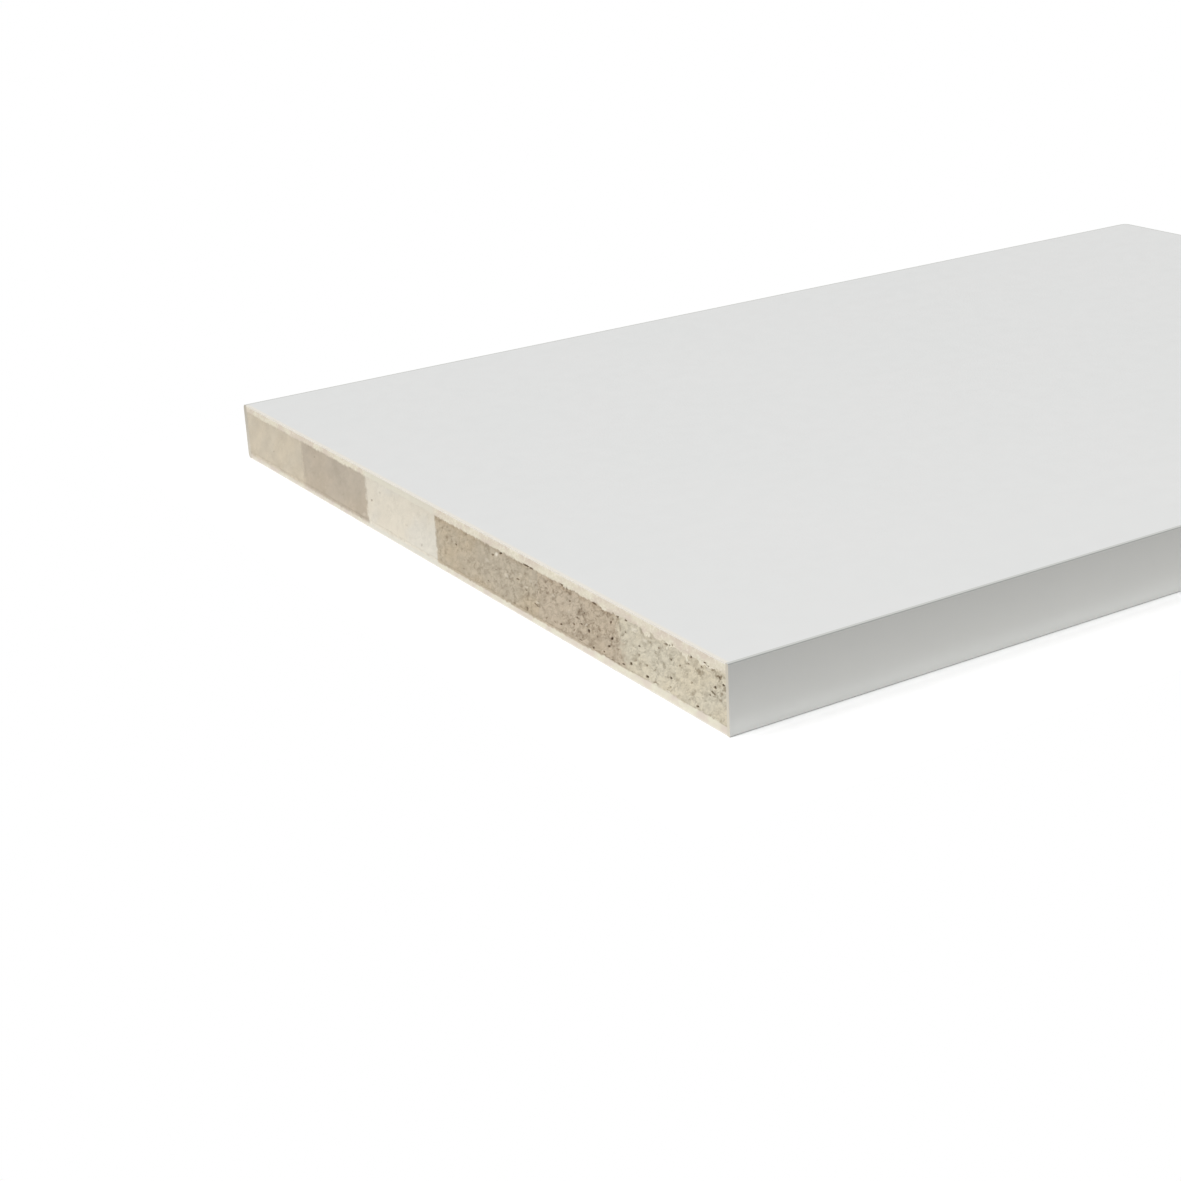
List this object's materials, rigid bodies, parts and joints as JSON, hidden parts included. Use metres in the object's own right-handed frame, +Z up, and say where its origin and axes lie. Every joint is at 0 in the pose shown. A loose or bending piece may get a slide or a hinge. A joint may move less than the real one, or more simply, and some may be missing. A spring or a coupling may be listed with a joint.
{
  "type": "blockboard panel",
  "caption": "Flat white-faced blockboard panel: a core of short wood blocks between pale wood layers, with edge bands and a bare sawn end.",
  "frame": {"origin": "under the middle of the board, on its underside", "axes": "+X along the board, away from the bare sawn end; +Y across it, from the thin front band to the thick back band; +Z up, through the thickness"},
  "size_m": [0.39, 0.268, 0.018],
  "materials": {
    "white_laminate": "satin white laminate, very fine texture",
    "edge_band": "satin white outside, cream where it is cut",
    "face_layer": "pale cream, sawn edge",
    "core_pale": "sawn, very pale, fine open grain",
    "core_mid": "sawn, light tan, fine open grain with dark pores",
    "core_dark": "sawn, grey brown, fine open grain with dark pores"
  },
  "bodies": {
    "root": {"bottom_laminate": "white_laminate", "core_strip_1_block_1": "core_mid", "core_strip_1_block_2": "core_dark", "core_strip_1_block_3": "core_mid", "core_strip_1_block_4": "core_pale", "core_strip_1_block_5": "core_dark", "core_strip_1_block_6": "core_mid", "core_strip_1_block_7": "core_pale", "core_strip_1_block_8": "core_dark", "core_strip_2_block_1": "core_dark", "core_strip_2_block_2": "core_mid", "core_strip_2_block_3": "core_pale", "core_strip_2_block_4": "core_dark", "core_strip_2_block_5": "core_mid", "core_strip_2_block_6": "core_pale", "core_strip_2_block_7": "core_dark", "core_strip_2_block_8": "core_mid", "core_strip_3_block_1": "core_dark", "core_strip_3_block_2": "core_pale", "core_strip_3_block_3": "core_dark", "core_strip_3_block_4": "core_mid", "core_strip_3_block_5": "core_pale", "core_strip_3_block_6": "core_dark", "core_strip_3_block_7": "core_mid", "core_strip_3_block_8": "core_pale", "core_strip_4_block_1": "core_pale", "core_strip_4_block_2": "core_dark", "core_strip_4_block_3": "core_mid", "core_strip_4_block_4": "core_pale", "core_strip_4_block_5": "core_dark", "core_strip_4_block_6": "core_mid", "core_strip_4_block_7": "core_pale", "core_strip_4_block_8": "core_dark", "core_strip_5_block_1": "core_dark", "core_strip_5_block_2": "core_mid", "core_strip_5_block_3": "core_pale", "core_strip_5_block_4": "core_dark", "core_strip_5_block_5": "core_mid", "core_strip_5_block_6": "core_pale", "core_strip_5_block_7": "core_dark", "core_strip_5_block_8": "core_mid", "core_strip_6_block_1": "core_mid", "core_strip_6_block_2": "core_pale", "core_strip_6_block_3": "core_dark", "core_strip_6_block_4": "core_mid", "core_strip_6_block_5": "core_pale", "core_strip_6_block_6": "core_dark", "core_strip_6_block_7": "core_mid", "core_strip_6_block_8": "core_pale", "front_edge_band": "edge_band", "lower_face_layer": "face_layer", "top_laminate": "white_laminate", "upper_face_layer": "face_layer", "wrapped_edge_band": "edge_band"}
  },
  "joints": []
}
